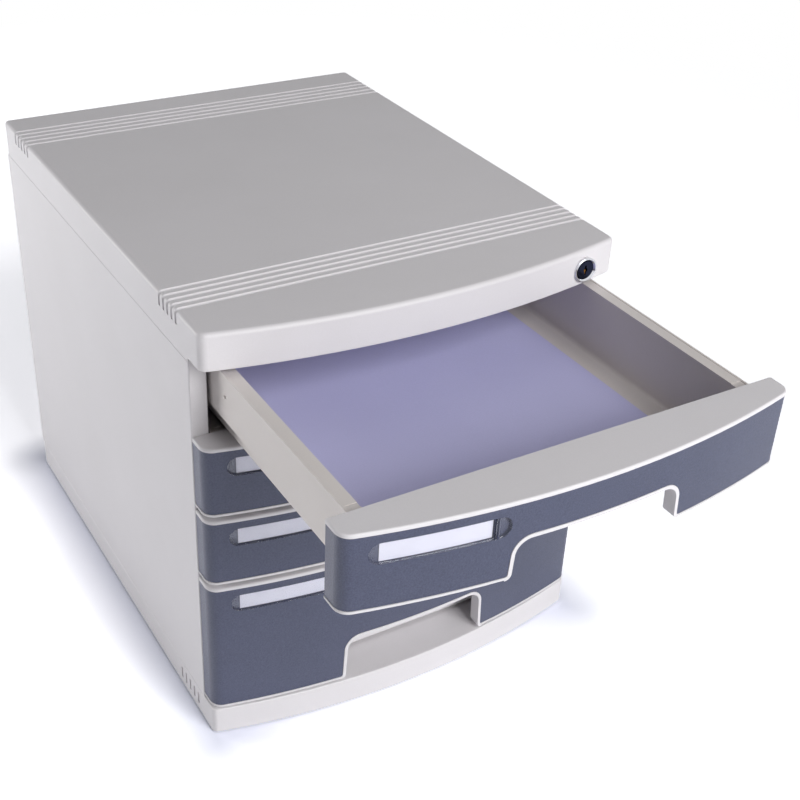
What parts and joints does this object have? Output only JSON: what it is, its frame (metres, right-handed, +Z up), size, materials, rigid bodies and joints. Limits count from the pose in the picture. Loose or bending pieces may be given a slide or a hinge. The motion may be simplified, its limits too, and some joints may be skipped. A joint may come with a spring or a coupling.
{
  "type": "desktop file drawer cabinet",
  "caption": "Desktop file cabinet with shallow drawers over a deep one, bowed fronts with finger notches and label windows, and a central lock in the cover.",
  "frame": {"origin": "on the desk plane, under the middle of the casing", "axes": "+X to the right seen from the front, fronts face -Y, +Z up"},
  "size_m": [0.3, 0.564, 0.3195],
  "materials": {
    "casing_plastic": "satin moulded, light warm grey",
    "tray_plastic": "satin moulded, light warm grey",
    "panel_plastic": "fine grain, dark bluish grey",
    "window_plastic": "clear polished",
    "card_paper": "bare white card",
    "sheet_plastic": "lavender, matt",
    "lock_chrome": "polished",
    "plug_metal": "plated, polished face",
    "screw_steel": "zinc plated",
    "bar_plastic": "slippery white moulding",
    "pad_rubber": "matt"
  },
  "bodies": {
    "casing": {"top_cover": "casing_plastic", "side_panel_left": "casing_plastic", "side_panel_right": "casing_plastic", "back_panel": "casing_plastic", "base": "casing_plastic", "foot_pads": "pad_rubber", "base_screws": "screw_steel", "back_screws": "screw_steel", "lock_barrel": "lock_chrome", "lock_nut": "screw_steel"},
    "lock_rotor": {"lock_plug": "plug_metal", "lock_cam": "screw_steel", "cam_screw": "screw_steel"},
    "lock_bar": {"lock_bar": "bar_plastic"},
    "drawer_1": {"tray_1": "tray_plastic", "front_shell_1": "casing_plastic", "front_panel_1": "panel_plastic", "label_window_1": "window_plastic", "label_card_1": "card_paper", "front_screws_1": "screw_steel", "liner_sheet": "sheet_plastic"},
    "drawer_2": {"tray_2": "tray_plastic", "front_shell_2": "casing_plastic", "front_panel_2": "panel_plastic", "label_window_2": "window_plastic", "label_card_2": "card_paper", "front_screws_2": "screw_steel"},
    "drawer_3": {"tray_3": "tray_plastic", "front_shell_3": "casing_plastic", "front_panel_3": "panel_plastic", "label_window_3": "window_plastic", "label_card_3": "card_paper", "front_screws_3": "screw_steel"},
    "drawer_4": {"tray_4": "tray_plastic", "front_shell_4": "casing_plastic", "front_panel_4": "panel_plastic", "label_window_4": "window_plastic", "label_card_4": "card_paper", "front_screws_4": "screw_steel"}
  },
  "joints": [
    {"name": "top_drawer_slide", "type": "slide", "parent": "casing", "child": "drawer_1", "axis": [0, -1, 0], "range_m": [-0.17, 0.09]},
    {"name": "second_drawer_slide", "type": "slide", "parent": "casing", "child": "drawer_2", "axis": [0, -1, 0], "range_m": [0, 0.26]},
    {"name": "third_drawer_slide", "type": "slide", "parent": "casing", "child": "drawer_3", "axis": [0, -1, 0], "range_m": [0, 0.26]},
    {"name": "bottom_drawer_slide", "type": "slide", "parent": "casing", "child": "drawer_4", "axis": [0, -1, 0], "range_m": [0, 0.26]},
    {"name": "lock_turn", "type": "hinge", "parent": "casing", "child": "lock_rotor", "pos_m": [0.12, -0.19, 0.3057], "axis": [0, 1, 0], "range_deg": [0, 90]},
    {"name": "lock_bar_slide", "type": "slide", "parent": "casing", "child": "lock_bar", "axis": [0, 0, -1], "range_m": [0, 0.0099]}
  ],
  "couplings": [
    {"joint": "lock_bar_slide", "follows": "lock_turn", "m_per_rad": 0.006302}
  ]
}
